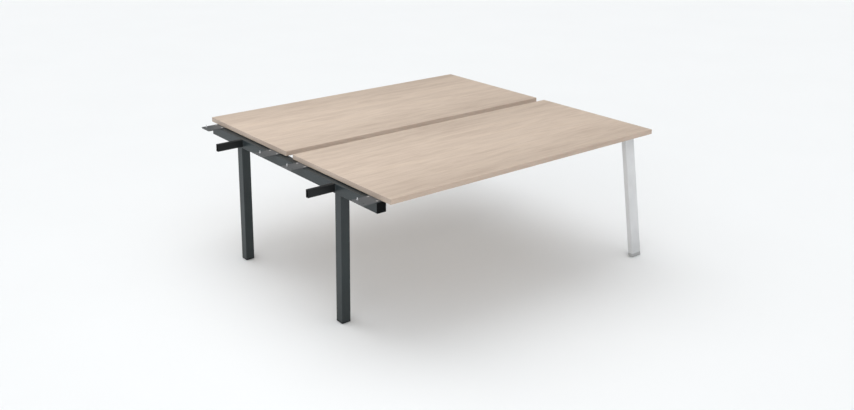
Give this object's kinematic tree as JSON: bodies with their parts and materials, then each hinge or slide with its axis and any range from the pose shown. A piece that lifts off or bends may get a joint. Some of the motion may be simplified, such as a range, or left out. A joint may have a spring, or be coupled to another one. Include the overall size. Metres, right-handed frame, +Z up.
{
  "type": "benching desk",
  "caption": "Benching desk with facing laminate worktops and a cable gap between them, on a shared square-tube leg frame and a splayed-leg end frame with levelling feet.",
  "frame": {"origin": "on the floor, under the middle of the desk's box, link arms included", "axes": "+X along the desk from the shared frame to the end frame, +Y from the front seat to the rear seat, +Z up"},
  "size_m": [1.977, 1.66, 0.74],
  "materials": {
    "laminate": "matt wood-grain laminate with a matching edge band",
    "anthracite": "fine textured powder coat",
    "pale_grey": "fine textured powder coat",
    "black_plastic": "moulded, matt",
    "grey_plastic": "moulded, matt",
    "zinc": "bright zinc plate"
  },
  "bodies": {
    "desk": {"bracket_bolt_front_inner_1": "zinc", "bracket_bolt_front_inner_2": "zinc", "bracket_bolt_front_outer_1": "zinc", "bracket_bolt_front_outer_2": "zinc", "bracket_bolt_rear_inner_1": "zinc", "bracket_bolt_rear_inner_2": "zinc", "bracket_bolt_rear_outer_1": "zinc", "bracket_bolt_rear_outer_2": "zinc", "connector_screw_front": "zinc", "connector_screw_rear": "zinc", "crossbeam_cap_front": "black_plastic", "crossbeam_cap_rear": "black_plastic", "desktop_front": "laminate", "desktop_rear": "laminate", "end_bracket_front_inner": "pale_grey", "end_bracket_front_outer": "pale_grey", "end_bracket_rear_inner": "pale_grey", "end_bracket_rear_outer": "pale_grey", "end_crossbeam": "pale_grey", "end_crossbeam_cap_front": "grey_plastic", "end_crossbeam_cap_rear": "grey_plastic", "end_leg_cap_front": "grey_plastic", "end_leg_cap_rear": "grey_plastic", "end_leg_front": "pale_grey", "end_leg_rear": "pale_grey", "end_top_screw_front_inner": "zinc", "end_top_screw_front_outer": "zinc", "end_top_screw_rear_inner": "zinc", "end_top_screw_rear_outer": "zinc", "leg_cap_front": "black_plastic", "leg_cap_rear": "black_plastic", "link_arm_front": "anthracite", "link_arm_rear": "anthracite", "rail_connector_front": "zinc", "rail_connector_rear": "zinc", "rail_front": "anthracite", "rail_rear": "anthracite", "shared_crossbeam": "anthracite", "shared_leg_front": "anthracite", "shared_leg_rear": "anthracite", "top_bracket_front_inner": "anthracite", "top_bracket_front_outer": "anthracite", "top_bracket_rear_inner": "anthracite", "top_bracket_rear_outer": "anthracite", "top_screw_front_inner_1": "zinc", "top_screw_front_inner_2": "zinc", "top_screw_front_outer_1": "zinc", "top_screw_front_outer_2": "zinc", "top_screw_rear_inner_1": "zinc", "top_screw_rear_inner_2": "zinc", "top_screw_rear_outer_1": "zinc", "top_screw_rear_outer_2": "zinc"},
    "foot_front": {"levelling_foot_front": "black_plastic"},
    "stem_front": {"foot_stem_front": "zinc"},
    "end_foot_front": {"end_levelling_foot_front": "grey_plastic"},
    "end_stem_front": {"end_foot_stem_front": "zinc"},
    "foot_rear": {"levelling_foot_rear": "black_plastic"},
    "stem_rear": {"foot_stem_rear": "zinc"},
    "end_foot_rear": {"end_levelling_foot_rear": "grey_plastic"},
    "end_stem_rear": {"end_foot_stem_rear": "zinc"}
  },
  "joints": [
    {"name": "foot_lift_front", "type": "slide", "parent": "desk", "child": "foot_front", "axis": [0, 0, -1], "range_m": [0, 0.015]},
    {"name": "stem_turn_front", "type": "hinge", "parent": "foot_front", "child": "stem_front", "pos_m": [-0.8135, -0.465, 0], "axis": [0, 0, -1], "range_deg": [0, 4320]},
    {"name": "end_foot_lift_front", "type": "slide", "parent": "desk", "child": "end_foot_front", "axis": [0, 0, -1], "range_m": [0, 0.015]},
    {"name": "end_stem_turn_front", "type": "hinge", "parent": "end_foot_front", "child": "end_stem_front", "pos_m": [0.9505, -0.80878, 0], "axis": [0, 0, -1], "range_deg": [0, 4320]},
    {"name": "foot_lift_rear", "type": "slide", "parent": "desk", "child": "foot_rear", "axis": [0, 0, -1], "range_m": [0, 0.015]},
    {"name": "stem_turn_rear", "type": "hinge", "parent": "foot_rear", "child": "stem_rear", "pos_m": [-0.8135, 0.465, 0], "axis": [0, 0, -1], "range_deg": [0, 4320]},
    {"name": "end_foot_lift_rear", "type": "slide", "parent": "desk", "child": "end_foot_rear", "axis": [0, 0, -1], "range_m": [0, 0.015]},
    {"name": "end_stem_turn_rear", "type": "hinge", "parent": "end_foot_rear", "child": "end_stem_rear", "pos_m": [0.9505, 0.80878, 0], "axis": [0, 0, -1], "range_deg": [0, 4320]}
  ],
  "couplings": [
    {"joint": "stem_turn_front", "follows": "foot_lift_front", "rad_per_m": 5026.5},
    {"joint": "end_stem_turn_front", "follows": "end_foot_lift_front", "rad_per_m": 5026.5},
    {"joint": "stem_turn_rear", "follows": "foot_lift_rear", "rad_per_m": 5026.5},
    {"joint": "end_stem_turn_rear", "follows": "end_foot_lift_rear", "rad_per_m": 5026.5}
  ]
}
